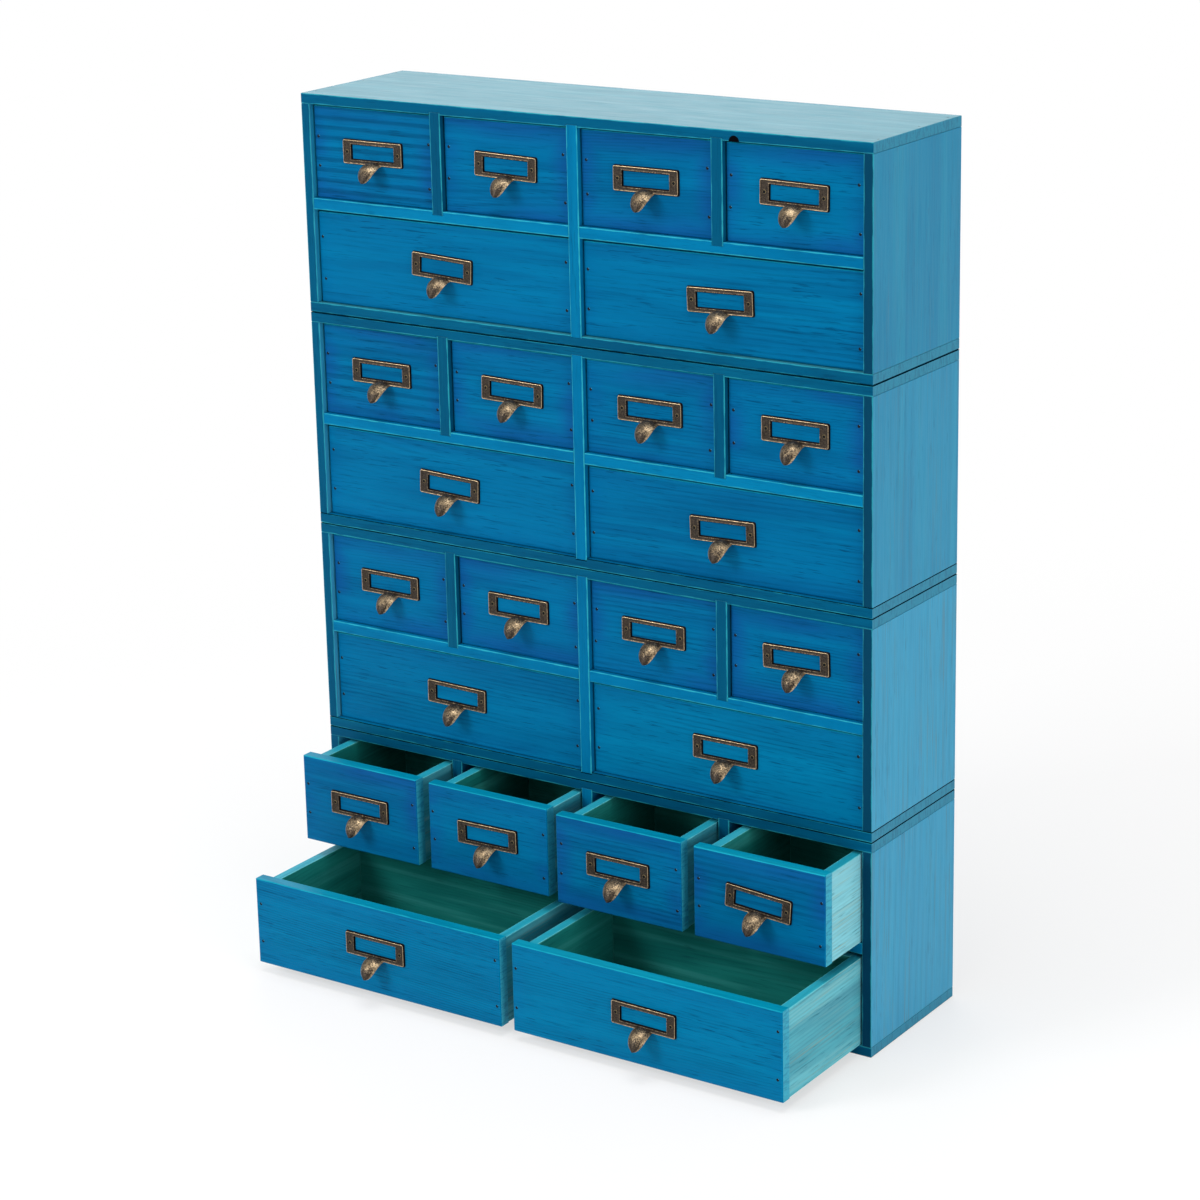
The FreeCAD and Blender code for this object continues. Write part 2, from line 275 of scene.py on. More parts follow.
def stained_wood(name, body, deep, pale, rim, cloud=0.6, line=0.25, fibre=0.25, dash=0.35, blooms=False,
                 bare=None, bare_share=0.0, rim_share=0.6, roughness=0.48, gloss=STAIN_GLOSS,
                 toned=True, thin=None):
    """Softwood under a thin blue stain.

    body, deep and pale are its middle, heavy and thin coats, and rim the worn colour of its edges, each
    as it shows on screen. cloud, line, fibre and dash are how strong the uneven coat, the late wood, the
    fibres and the pores show. A coat that blooms turns violet near the edges, and bare shows through in
    bare_share of the streaks. thin is the colour that a thinly stained board has all over, and gloss
    tints the reflections. A stain that is not toned is as heavy on every board.
    """
    made = Surface(name)
    body, deep, pale, rim = (screen_colour(*shade) for shade in (body, deep, pale, rim))
    grain, rings = made.attribute("grain"), made.attribute("rings")
    tint, nature = made.parts(made.attribute("tint")), made.parts(made.attribute("coat"))
    edge_distance = distance_to_edge(made)

    clouds = made.rough_field(grain, "clouds", 3.0)
    coat = made.mix(made.value("MULTIPLY", made.span(clouds, *SPANS["clouds"]), cloud), body, deep)
    drift = made.rough_field(grain, "drift")
    coat = made.mix(made.value("MULTIPLY", made.span(drift, *SPANS["drift"]), cloud), coat, pale)
    if thin:
        coat = made.mix(nature[0], coat, screen_colour(*thin))
    if toned:
        coat = made.mix(tint[2], coat, HEAVY_COAT)
    if blooms:
        near_edge = made.span(edge_distance, *BLOOM_REACH, 1.0, 0.0)
        patches = made.span(made.rough_field(grain, "violet"), *SPANS["violet"])
        share = made.value("MULTIPLY", made.value("MULTIPLY", near_edge, patches), nature[1])
        coat = made.mix(share, coat, VIOLET)

    wave = made.node("ShaderNodeTexWave",
                     {"Vector": rings, "Scale": ONE_RING, "Distortion": 2.0, "Detail": 2.0,
                      "Detail Scale": 1.0, "Detail Roughness": 0.55},
                     wave_type="RINGS", rings_direction="X", wave_profile="SIN").outputs["Fac"]
    late = made.value("MULTIPLY", made.span(wave, *SPANS["ring"]), tint[0])
    shown = made.span(made.rough_field(grain, "late wood"), *SPANS["late wood"])
    late = made.value("MULTIPLY", late, made.value("MAXIMUM", shown, nature[2]))
    fibres = made.rough_field(grain, "fibres", 3.0, 0.6)
    pores = made.span(made.rough_field(grain, "pores"), *SPANS["pores"])
    porous = made.span(made.rough_field(grain, "porous"), *SPANS["porous"])
    fibrous = made.value("MULTIPLY", made.span(fibres, *SPANS["fibres"]), fibre)
    dark = made.value("MULTIPLY_ADD", late, line, fibrous)
    dark = made.value("MULTIPLY_ADD", made.value("MULTIPLY", pores, porous), dash, dark)
    wood = made.mix(made.value("MINIMUM", dark, MOST_DARK), coat, made.mix(LATE_SHARE, deep, LATE_WOOD))
    if bare:
        streaks = made.rough_field(grain, "streaks", 3.0, 0.65)
        rubbed_off = made.rough_field(grain, "rubbed off")
        least = LEAST_BARE * bare_share
        through = made.value("MULTIPLY", made.span(streaks, *SPANS["streaks"]),
                             made.span(rubbed_off, *SPANS["rubbed off"], least, bare_share))
        through = made.value("MULTIPLY", through, made.span(nature[0], *SPANS["thin coat"]))
        wood = made.mix(through, wood, screen_colour(*bare))

    wear = made.rough_field(grain, "wear", 3.0)
    width = made.span(wear, *SPANS["wear"], *WORN_RIM)
    unworn = made.value("MINIMUM", made.value("DIVIDE", edge_distance, width), 1.0)
    shade_to_wear = made.value("SUBTRACT", 1.0, unworn)
    wood = made.mix(made.value("MULTIPLY", shade_to_wear, rim_share), wood, rim)

    made.join(wood, made.shader.inputs["Base Color"])
    rough = made.span(fibres, *SPANS["rough fibres"], roughness, roughness + FIBRES_ROUGHER)
    made.join(rough, made.shader.inputs["Roughness"])
    height = made.value("ADD", made.value("MULTIPLY", wave, tint[1]),
                        made.value("MULTIPLY", fibres, FIBRES_HEIGHT))
    made.join(made.relief(height, *RELIEF["wood"]), made.shader.inputs["Normal"])
    made.shader.inputs["Specular IOR Level"].default_value = GLOSSY_WOOD if gloss == WHITE else MATT_WOOD
    made.shader.inputs["Specular Tint"].default_value = gloss
    return made.material


def distance_to_edge(made):
    """How far a point on a board lies from the nearest edge of its face."""
    place, reach = made.attribute("place"), made.attribute("reach")
    inside = made.parts(made.vector("SUBTRACT", reach, made.vector("ABSOLUTE", place, (0, 0, 0))))
    low = made.value("MINIMUM", inside[0], inside[1])
    high = made.value("MAXIMUM", inside[0], inside[1])
    return made.value("MAXIMUM", low, made.value("MINIMUM", high, inside[2]))


def end_grain(name, body, deep, hatch=0.5, shine=0.3):
    """The cut ends of boards, which drink more stain and show short dark marks across their thickness."""
    made = Surface(name)
    body, deep = screen_colour(*body), screen_colour(*deep)
    place = made.attribute("grain")
    speckle = made.rough_field(place, "speckle")
    marks = made.span(made.rough_field(place, "hatch"), *SPANS["hatch"])
    wood = made.mix(made.value("MULTIPLY", marks, hatch), body, deep)
    speckled = made.value("MULTIPLY", made.span(speckle, *SPANS["speckle"]), SPECKLE_SHARE)
    wood = made.mix(speckled, wood, deep)
    made.join(wood, made.shader.inputs["Base Color"])
    made.shader.inputs["Roughness"].default_value = 0.6
    made.join(made.relief(speckle, *RELIEF["ends"]), made.shader.inputs["Normal"])
    made.shader.inputs["Specular IOR Level"].default_value = shine
    return made.material


def antique_bronze():
    """Brown cast metal, painted nearly black as shade on its walls and skirt, and rubbed bright on its rims
    and lip.
    """
    made = Surface("antique_bronze")
    place = made.attribute("grain")
    shade_to_wear = made.parts(made.attribute("shade_to_wear"))[0]
    cast = made.rough_field(place, "casting", 3.0, 0.6)
    cloud = made.rough_field(place, "patina")
    shade_to_rubbed = made.value("ADD", shade_to_wear, made.span(cast, *SPANS["cast speckle"]))
    shade_to_rubbed = made.value("ADD", shade_to_rubbed, made.span(cloud, *SPANS["patina"]))
    brown = made.mix(made.span(cast, *SPANS["brown"]), BRONZE_DARK, BRONZE_LIGHT)
    metal = made.mix(made.span(shade_to_rubbed, *SPANS["bright"]), brown, BRONZE_RUBBED)
    # painted shade: well below 0, on the walls and on the skirt round the plate, the metal turns near-black
    metal = made.mix(made.span(shade_to_rubbed, *SPANS["pits_and_shade"]), BRONZE_PIT_AND_SHADE, metal)
    made.join(metal, made.shader.inputs["Base Color"])
    made.join(made.span(shade_to_rubbed, *SPANS["bronze roughness"]), made.shader.inputs["Roughness"])
    made.shader.inputs["Metallic"].default_value = 0.8
    made.join(made.relief(cast, *RELIEF["casting"]), made.shader.inputs["Normal"])
    return made.material


def screw_metal(name, dark, light, metallic):
    """Small dull metal spotted dark and light; at metallic 0 also dark heads, painted hole shade and a
    painted glint.
    """
    made = Surface(name)
    place = made.attribute("grain")
    spots = made.rough_field(place, "spots")
    metal = made.mix(spots, screen_colour(*dark), screen_colour(*light))
    made.join(metal, made.shader.inputs["Base Color"])
    made.join(made.span(spots, *SPANS["screw roughness"]), made.shader.inputs["Roughness"])
    made.shader.inputs["Metallic"].default_value = metallic
    made.shader.inputs["Specular IOR Level"].default_value = 0.15
    return made.material


WOOD = {
    "front": stained_wood("front_stain", (0, 98, 145), (0, 82, 128), (0, 108, 154), (4, 128, 164),
                          cloud=0.7, line=0.42, fibre=0.5, dash=0.6, blooms=True, rim_share=0.5,
                          thin=(0, 126, 166)),
    # painted light: a lighter colour on the fronts' up-facing faces, standing in for the light from above
    "chamfer": stained_wood("chamfer_painted_light", (0, 134, 164), (0, 118, 150), (20, 152, 176), (40, 172, 188)),
    "case": stained_wood("case_stain", (0, 86, 122), (2, 72, 106), (4, 98, 132), (50, 172, 184), fibre=0.4,
                         dash=0.5, rim_share=0.9),
    "shelf": stained_wood("shelf_stain", (0, 108, 154), (0, 94, 140), (2, 122, 166), (56, 184, 194),
                          line=0.2, dash=0.4, rim_share=0.9),
    "panel": stained_wood("panel_stain", (14, 122, 158), (8, 112, 150), (28, 134, 164), (36, 138, 158),
                          cloud=0.5, line=0.2, fibre=0.1, dash=0.4, bare=(84, 106, 108), bare_share=0.75,
                          rim_share=0.4, gloss=WHITE, toned=False, thin=(64, 160, 196)),
    "tray": stained_wood("tray_stain", (24, 142, 158), (10, 118, 136), (76, 164, 176), (120, 200, 204),
                         cloud=1.0, line=0.3, fibre=0.35, dash=0.5, bare=(148, 150, 124), bare_share=0.7,
                         thin=(150, 214, 224)),
    "tray_top": stained_wood("tray_top_stain", (40, 156, 176), (20, 136, 158), (66, 174, 192),
                             (110, 206, 212), rim_share=0.8),
    # the drawers' inner faces: a greener stain, set darker as painted shade inside the drawer
    "inside": stained_wood("inside_stain_and_painted_shade", (30, 130, 122), (14, 98, 94), (60, 156, 150), (90, 186, 180),
                           line=0.3, roughness=0.6),
    "top": stained_wood("top_stain", (34, 119, 136), (24, 110, 127), (50, 130, 147), (50, 142, 158),
                        line=0.15, fibre=0.15, rim_share=0.3, gloss=WHITE, toned=False),
    "back": stained_wood("back_stain", (10, 104, 140), (4, 84, 120), (30, 122, 152), (30, 130, 150),
                         rim_share=0.2, roughness=0.6),
}
ENDS = {
    "front": end_grain("front_ends", (44, 154, 178), (4, 104, 138)),
    "case": end_grain("case_ends", (34, 124, 152), (20, 92, 120)),
    "tray": end_grain("tray_ends", (70, 170, 180), (20, 120, 140)),
}
# painted shade: near-black on the rounded edges beside the seams between stacked boxes, where their shadow
# falls
SEAM_SHADE = end_grain("seam_painted_shade", (0, 26, 38), (0, 10, 16), shine=0)
KNOT = end_grain("knot", (10, 10, 12), (2, 3, 5), hatch=0.8, shine=0)
BRONZE = antique_bronze()
BRASS = screw_metal("screw_brass", (96, 84, 60), (150, 132, 96), 0.7)
# painted shade: near-black in the screws' recesses and on the brad heads, for the holes they sit in; also
# the dark nail heads on the top
DARK_METAL_AND_SHADE = screw_metal("dark_metal_and_painted_shade", (2, 3, 5), (10, 10, 12), 0.0)
# painted highlight: the light glint on one facet beside each brad
BRAD_GLINT = screw_metal("brad_painted_glint", (50, 150, 190), (120, 196, 216), 0.0)


# ---------------------------------------------------------------- boards
def closed_shells(mesh):
    """The boards of a CAD node, each a list of triangles, in the order in which they close."""
    places = [tuple(vertex.co) for vertex in mesh.vertices]
    spots = [tuple(round(c / SAME_CORNER) for c in place) for place in places]
    shells, triangles, open_edges = [], [], set()
    for polygon in mesh.polygons:
        around = [spots[i] for i in polygon.vertices]
        triangles.append([(spots[i], places[i]) for i in polygon.vertices])
        for start, end in zip(around, around[1:] + around[:1]):
            if (end, start) in open_edges:
                open_edges.remove((end, start))
            else:
                open_edges.add((start, end))
        if not open_edges:
            shells.append(triangles)
            triangles = []
    return shells


def board_from(shell):
    """One board as a bmesh of whole flat faces."""
    board, corners = bmesh.new(), {}
    for triangle in shell:
        for spot, place in triangle:
            if spot not in corners:
                corners[spot] = board.verts.new(place)
        board.faces.new([corners[spot] for spot, _ in triangle])
    bmesh.ops.dissolve_limit(board, angle_limit=SAME_PLANE, verts=board.verts, edges=board.edges)
    return board


def round_edges(board, width):
    """Rounds the board's outer edges."""
    sharp = [e for e in board.edges if e.is_convex and e.calc_face_angle(0) > SHARP_TURN]
    bmesh.ops.bevel(board, geom=sharp, offset=width, offset_type="OFFSET", segments=2, profile=0.5,
                    affect="EDGES", clamp_overlap=True)


def extent(board):
    """The lowest and highest corner of a board."""
    places = [v.co for v in board.verts]
    low = Vector([min(p[axis] for p in places) for axis in range(3)])
    high = Vector([max(p[axis] for p in places) for axis in range(3)])
    return low, high


def saw(board, low, high, grain_axis, ring_width, ridges=0.0, tone=0.0, thin=0.0, bloom=0.0, ends=0.0):
    """Gives a board its grain: where it lay in the log, how wide the rings are and how strong they show.

    ridges is how much its rings stand out as ridges. tone and thin are how much heavier or thinner its coat
    of stain is than the others', and bloom how violet it turns near the edges, from 0 to 1. ends is added
    to how far off the board's ends are.
    """
    size = high - low
    thin_axis = min(range(3), key=lambda axis: size[axis])
    wide_axis = 3 - grain_axis - thin_axis
    order = (grain_axis, wide_axis, thin_axis)
    middle = (low + high) / 2
    shift = Vector([chance.uniform(0, GRAIN_SHIFT) for _ in range(3)])
    heart = (chance.choice((-1, 1)) * chance.uniform(*HEART_ACROSS) * size[wide_axis],
             chance.uniform(*HEART_DEEP))
    tilt = (chance.uniform(-TILT_ACROSS, TILT_ACROSS), chance.uniform(-TILT_DEEP, TILT_DEEP))
    if ridges:
        heart, tilt = RIDGE_HEART, (0.0, 0.0)
        shows, stands_out = RIDGES_SHOW * ridges, RIDGES_STAND_OUT * ridges
    else:
        shows, stands_out = chance.uniform(*RINGS_SHOW), chance.uniform(*RINGS_STAND_OUT)
    layers = {name: board.verts.layers.float_vector.new(name)
              for name in ("grain", "rings", "place", "reach", "tint", "coat")}
    reach = Vector([size[axis] / 2 for axis in order]) + Vector((ends, 0, 0))
    for vertex in board.verts:
        place = Vector([vertex.co[axis] - middle[axis] for axis in order])
        across = place.y - heart[0] - tilt[0] * place.x
        deep = place.z - heart[1] - tilt[1] * place.x
        vertex[layers["grain"]] = place + shift
        vertex[layers["rings"]] = Vector((place.x * RING_DRIFT, across, deep)) / ring_width
        vertex[layers["place"]] = place
        vertex[layers["reach"]] = reach
        vertex[layers["tint"]] = Vector((shows, stands_out, tone))
        vertex[layers["coat"]] = Vector((thin, bloom, ridges))


def colour_faces(board, slots, stain_of):
    """Every face gets the stain that stain_of picks for it."""
    for face in board.faces:
        stain = stain_of(face)
        if stain not in slots:
            slots.append(stain)
        face.material_index = slots.index(stain)


def node_piece(node, body, dress):
    """Rebuilds a CAD node's boards with dress, as one piece that stands for the node."""
    source = frame["nodes"][node]
    joined = bmesh.new()
    slots = []
    for shell in closed_shells(source.data):
        board = board_from(shell)
        dress(board, slots)
        scratch = bpy.data.meshes.new("scratch")
        board.to_mesh(scratch)
        joined.from_mesh(scratch)
        board.free()
        bpy.data.meshes.remove(scratch)
    mesh = bpy.data.meshes.new(node + "_wood")
    joined.to_mesh(mesh)
    joined.free()
    for material in slots:
        mesh.materials.append(material)
    piece = bpy.data.objects.new(node + "_wood", mesh)
    bpy.context.scene.collection.objects.link(piece)
    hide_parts(node)
    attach(piece, body)


def case_board_kind(low, high):
    """panel, back, divider, shelf or board, from a case board's size and place."""
    size = high - low
    thin_axis = min(range(3), key=lambda axis: size[axis])
    if thin_axis == 1:
        return "back"
    if thin_axis == 2:
        return "board" if size.x > FULL_WIDTH else "shelf"
    at_side = low.x < cad_bounds[0].x + MM or high.x > cad_bounds[1].x - MM
    return "panel" if at_side else "divider"


def dress_case_board(board, slots):
    """A board of the case, a divider, a shelf half or the back panel."""
    low, high = extent(board)
    kind = case_board_kind(low, high)
    grain_axis = 2 if kind in ("panel", "divider") else 0
    wood = WOOD[{"panel": "panel", "back": "back", "shelf": "shelf"}.get(kind, "case")]
    underside = kind == "board" and low.z % BOX_PITCH < MM
    stacked_on = kind == "board" and not underside and high.z < cad_bounds[1].z - BOX_PITCH / 2
    tone = TONE[kind]
    thin = PANEL_THIN[int(low.z / BOX_PITCH)] if kind == "panel" else 0
    if kind == "panel" and high.x > 0:
        tone = TONE["right panel"]
    if kind == "divider" and high.z - low.z > FULL_HEIGHT:
        wood, tone = WOOD["shelf"], TONE["tall divider"]

    def stain_of(face):
        seam_side = -face.normal.z if underside else face.normal.z
        # the rounded edges beside a seam between boxes are painted near-black as its shade
        if (underside or stacked_on) and SEAM_EDGE[0] < seam_side < SEAM_EDGE[1]:
            return SEAM_SHADE
        if abs(face.normal[grain_axis]) > SQUARE_ON:
            return ENDS["case"]
        if kind == "panel" and abs(face.normal.x) < SQUARE_ON:
            return WOOD["case"]
        if kind == "board" and face.normal.z > SQUARE_ON:
            return WOOD["shelf" if stacked_on else "top"]
        return wood

    round_edges(board, EDGE_ROUNDING["case"])
    board.normal_update()
    rings = chance.uniform(*RING_WIDTH["panel" if kind == "panel" else "case"])
    saw(board, low, high, grain_axis, rings * MM, tone=tone, thin=thin, ends=NO_EDGE)
    colour_faces(board, slots, stain_of)


def dress_drawer_board(middle, ridges, thin_front, thin_tray, bloom):
    """Returns what dresses a drawer's boards: its front, its two sides, its back and its floor."""
    def dress(board, slots):
        low, high = extent(board)
        size = high - low
        thin_axis = min(range(3), key=lambda axis: size[axis])
        grain_axis = 1 if thin_axis == 0 else 0
        is_front = thin_axis == 1 and size.y > THINNEST_FRONT
        inwards = Vector((0, 0, 0))
        inwards[thin_axis] = 1 if (low + high)[thin_axis] / 2 < middle[thin_axis] else -1

        def stain_of(face):
            if abs(face.normal[grain_axis]) > SQUARE_ON:
                return ENDS["front" if is_front else "tray"]
            # up-facing faces of a front are painted lighter as the light from above
            if is_front and face.normal.z > CHAMFER_UP:
                return WOOD["chamfer"]
            # inner faces take the greener stain that is also darker as painted shade
            if face.normal.dot(inwards) > SQUARE_ON:
                return WOOD["inside"]
            if face.normal.z > SQUARE_ON:
                return WOOD["tray_top"]
            return WOOD["front" if is_front else "tray"]

        round_edges(board, FRONT_EDGE_ROUNDING if is_front else EDGE_ROUNDING["drawer"])
        board.normal_update()
        rings = RIDGE_SPACING if is_front and ridges else chance.uniform(*RING_WIDTH["drawer"]) * MM
        saw(board, low, high, grain_axis, rings, ridges if is_front else 0.0,
            thin=thin_front if is_front else thin_tray, bloom=bloom)
        colour_faces(board, slots, stain_of)
    return dress


# ---------------------------------------------------------------- label holders
def rounded_rectangle(half_width, half_height, radius, depth):
    """Points round a rectangle with round corners, at that depth in front of the drawer."""
    signs = ((1, 1), (-1, 1), (-1, -1), (1, -1))
    arcs = []
    for corner, (sign_x, sign_z) in enumerate(signs):
        centre = Vector((sign_x * (half_width - radius), -depth, sign_z * (half_height - radius)))
        turns = [(corner + step / CORNER_STEPS) * math.pi / 2 for step in range(CORNER_STEPS + 1)]
        arcs.append([centre + Vector((math.cos(t), 0, math.sin(t))) * radius for t in turns])
    points = []
    for arc, following in zip(arcs, arcs[1:] + arcs[:1]):
        points += arc
        points += [arc[-1].lerp(following[0], step / SIDE_STEPS) for step in range(1, SIDE_STEPS)]
    return points


def skin_loops(shape, loops, shade_to_wear, closed):
    """Joins loops of points into a skin, each with how rubbed its metal is; below 0 is painted shade."""
    layer = shape.verts.layers.float_vector["shade_to_wear"]
    rows = []
    for loop, share in zip(loops, shade_to_wear):
        row = [shape.verts.new(point) for point in loop]
        for vertex in row:
            vertex[layer] = Vector((share, 0, 0))
        rows.append(row)
    pairs = list(zip(rows, rows[1:])) + ([(rows[-1], rows[0])] if closed else [])
    for near, far in pairs:
        for i in range(len(near)):
            j = (i + 1) % len(near)
            shape.faces.new((near[i], near[j], far[j], far[i]))
    return rows


def plate(shape, half_width, half_height):
    """The cast frame round the window, with a rim along its outline and another round the window."""
    window_x, window_z = WINDOW[0] / 2, WINDOW[1] / 2
    # mm in from the outline or out from the window, mm in front of the drawer, and how rubbed, where below
    # 0 is painted shade
    # painted shade: the rows 0 to 0.1 mm out lie on the wood as a dark skirt round the plate and inside the
    # window, and the walls are dark too, for their shadows
    outer = [(-0.7, 0, -1.5), (-0.7, 0.05, -1.5), (0, 0.1, -1.5), (0, 1.5, -1.1), (0.1, 1.9, 0.1),
             (0.35, 2.15, 0.9), (0.7, 2.15, 0.6), (1.0, 1.85, 0.0), (1.3, 1.65, 0.05)]
    inner = [(1.2, 1.65, 0.05), (0.9, 1.9, 0.1), (0.6, 2.05, 0.55), (0.3, 2.0, 0.4), (0.1, 1.75, -0.1),
             (0, 1.3, -1.1), (0, 0.1, -1.5), (-0.8, 0.05, -1.5), (-0.8, 0, -1.5)]
    loops = [rounded_rectangle(half_width - inset * MM, half_height - inset * MM,
                               PLATE_CORNER - inset * CORNER_SHRINKS * MM, depth * MM)
             for inset, depth, _ in outer]
    loops += [rounded_rectangle(window_x + outset * MM, window_z + outset * MM,
                                WINDOW_CORNER + outset * CORNER_GROWS * MM, depth * MM)
              for outset, depth, _ in inner]
    shade_to_wear = [share for _, _, share in outer + inner]
    skin_loops(shape, loops, shade_to_wear, closed=True)


def lip_section(along, reach):
    """Points round the crescent section of the lip at that share of its length."""
    turn = along * LIP_SWEEP
    taper = math.sqrt(max(0.0, 1 - along ** LIP_TAPER_POWER))
    keep = LIP_LEAST_SHARE + (1 - LIP_LEAST_SHARE) * taper
    half_width = LIP_WIDTH / 2 * taper
    crown, thickness = LIP_CROWN * keep, LIP_THICKNESS * keep
    inner_half_width = half_width * (1 - LIP_HOLLOW * LIP_THICKNESS / LIP_WIDTH)
    ridge = Vector((0, -reach * math.sin(turn), -LIP_DROP * (1 - math.cos(turn))))
    inwards = Vector((0, math.sin(turn), -math.cos(turn)))
    across = [2 * step / LIP_FACETS - 1 for step in range(LIP_FACETS + 1)]
    outer = [ridge + Vector((s * half_width, 0, 0)) + inwards * (crown * s * s) for s in across]
    inner = [ridge + Vector((s * inner_half_width, 0, 0))
             + inwards * (thickness + (crown - thickness) * s * s) for s in reversed(across)]
    return outer + inner


def lip(shape, reach, root):
    """The spoon-shaped finger lip, from its root on the lower bar out and down to its round tip."""
    layer = shape.verts.layers.float_vector["shade_to_wear"]
    stops = [LIP_END * math.sin(step / LIP_STEPS * math.pi / 2) for step in range(LIP_STEPS + 1)]
    loops = [[point + root for point in lip_section(along, reach)] for along in stops]
    rows = skin_loops(shape, loops, [0.0] * len(loops), closed=False)
    for along, row in zip(stops, rows):
        for i, vertex in enumerate(row):
            middle = math.sin(math.pi * min(1, along * LIP_WORN_SPEED))
            shade_to_rubbed = LIP_WORN["root"] + LIP_WORN["middle"] * middle
            if i > LIP_FACETS:
                shade_to_rubbed = LIP_WORN["underside"]
            elif abs(2 * i / LIP_FACETS - 1) >= LIP_WORN_EDGE:
                shade_to_rubbed = LIP_WORN["edge"]
            vertex[layer] = Vector((shade_to_rubbed, 0, 0))
    shape.faces.new(reversed(rows[0]))
    shape.faces.new(rows[-1])


def holder_shape(half_width, reach):
    """The whole casting, centred on its plate, with its back in the plane y = 0."""
    shape = bmesh.new()
    shape.verts.layers.float_vector.new("shade_to_wear")
    shape.verts.layers.float_vector.new("grain")
    plate(shape, half_width, PLATE_HEIGHT / 2)
    root = Vector((0, -LIP_ROOT_DEPTH, -WINDOW[1] / 2 - LIP_ROOT_DROP))
    lip(shape, reach, root)
    bmesh.ops.recalc_face_normals(shape, faces=shape.faces)
    return shape


def screw_head(shape, centre, radius, turn):
    """A small round head whose wide recess is painted dark as its shade, standing out towards -Y from
    centre.
    """
    count = SCREW_FACETS
    angles = [turn + i * 2 * math.pi / count for i in range(count)]
    rows = [[(share * radius, rise * MM)] * count for share, rise in SCREW_HEAD]
    rows += [[(radius * RECESS_STAR[i % len(RECESS_STAR)] * share, rise * MM) for i in range(count)]
             for share, rise in SCREW_RECESS]
    verts = [[shape.verts.new(centre + Vector((math.cos(a) * r, -h, math.sin(a) * r)))
              for a, (r, h) in zip(angles, row)] for row in rows]
    for number, (near, far) in enumerate(zip(verts, verts[1:])):
        for i in range(count):
            j = (i + 1) % count
            face = shape.faces.new((near[i], near[j], far[j], far[i]))
            face.material_index = 1 if number >= len(SCREW_HEAD) else 0
    shape.faces.new(verts[-1]).material_index = 1
    shape.faces.new(reversed(verts[0]))


def brad_head(shape, centre, across, up, out, radius):
    """A small domed nail head, with one facet of its rim in its second colour: a painted glint. out points
    away from the wood.
    """
    count = BRAD_FACETS
    angles = [i * 2 * math.pi / count for i in range(count)]
    verts = [[shape.verts.new(centre + out * (rise * MM)
                              + (across * math.cos(a) + up * math.sin(a)) * (share * radius))
              for a in angles] for share, rise in BRAD_HEAD]
    for near, far in zip(verts, verts[1:]):
        for i in range(count):
            j = (i + 1) % count
            face = shape.faces.new((near[i], near[j], far[j], far[i]))
            face.material_index = 1 if far is not verts[-1] and i == GLINT_FACET else 0
    shape.faces.new(verts[-1])
    shape.faces.new(reversed(verts[0]))


def metal_piece(name, shape, materials, body, at=None):
    """Makes a piece of a metal shape, with its own patch of the casting's texture."""
    layer = shape.verts.layers.float_vector.get("grain") or shape.verts.layers.float_vector.new("grain")
    shift = Vector([chance.uniform(0, CAST_SHIFT) for _ in range(3)])
    for vertex in shape.verts:
        vertex[layer] = vertex.co + shift
    bmesh.ops.recalc_face_normals(shape, faces=shape.faces)
    mesh = bpy.data.meshes.new(name)
    shape.to_mesh(mesh)
    for material in materials:
        mesh.materials.append(material)
    mesh.shade_smooth()
    mesh.set_sharp_from_angle(angle=SMOOTH_TURN)
    piece = bpy.data.objects.new(name, mesh)
    bpy.context.scene.collection.objects.link(piece)
    if at is not None:
        piece.location = at
    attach(piece, body)
    return piece


def dress_holder(node, body, casting, tilt):
    """Puts the detailed label holder and its two screws where the CAD node is."""
    low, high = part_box(node)
    centre = Vector(((low.x + high.x) / 2, high.y, high.z - PLATE_HEIGHT / 2))
    shape = casting.copy()
    holder = metal_piece(node.replace("_pull", "_label_holder"), shape, [BRONZE], body, centre)
    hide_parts(node)
    shape.free()
    screws = bmesh.new()
    tab_middle = (WINDOW[0] / 2 + (high.x - low.x) / 2) / 2
    for side in (-1, 1):
        screw_head(screws, Vector((side * tab_middle, -PLATE_FACE, 0)), SCREW_RADIUS,
                   chance.uniform(0, math.pi))
    screw_pair = metal_piece(node.replace("_pull", "_screws"), screws, [BRASS, DARK_METAL_AND_SHADE], body, centre)
    screws.free()
    for piece in (holder, screw_pair):
        piece.rotation_euler.y = math.radians(tilt)


def dress_brads(node, body, kind, low, high):
    """Four brads through the front into the tray's sides."""
    shape = bmesh.new()
    height = high.z - low.z
    for side, x in (("left", low.x + BRAD_INSET), ("right", high.x - BRAD_INSET)):
        for share in BRAD_HEIGHTS[kind][side]:
            stray = Vector((chance.uniform(-BRAD_STRAY_ACROSS, BRAD_STRAY_ACROSS), 0,
                            chance.uniform(-BRAD_STRAY_UP, BRAD_STRAY_UP))) * MM
            centre = Vector((x, low.y, high.z - share * height)) + stray
            brad_head(shape, centre, Vector((1, 0, 0)), Vector((0, 0, 1)), Vector((0, -1, 0)), BRAD_RADIUS)
    metal_piece(node + "_brads", shape, [DARK_METAL_AND_SHADE, BRAD_GLINT], body)
    shape.free()


def dress_top_nails(case, body):
    """Three nails at each end of a box's top board, down into its side boards."""
    low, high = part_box(case)
    shape = bmesh.new()
    for x in (low.x + NAIL_INSET, high.x - NAIL_INSET):
        for back in NAIL_PLACES:
            stray = chance.uniform(-NAIL_STRAY, NAIL_STRAY) * MM
            centre = Vector((x + stray, low.y + back, high.z - NAIL_SUNK))
            brad_head(shape, centre, Vector((1, 0, 0)), Vector((0, 1, 0)), Vector((0, 0, 1)), NAIL_RADIUS)
    metal_piece(case.replace("_case", "_top_nails"), shape, [DARK_METAL_AND_SHADE, DARK_METAL_AND_SHADE], body)
    shape.free()


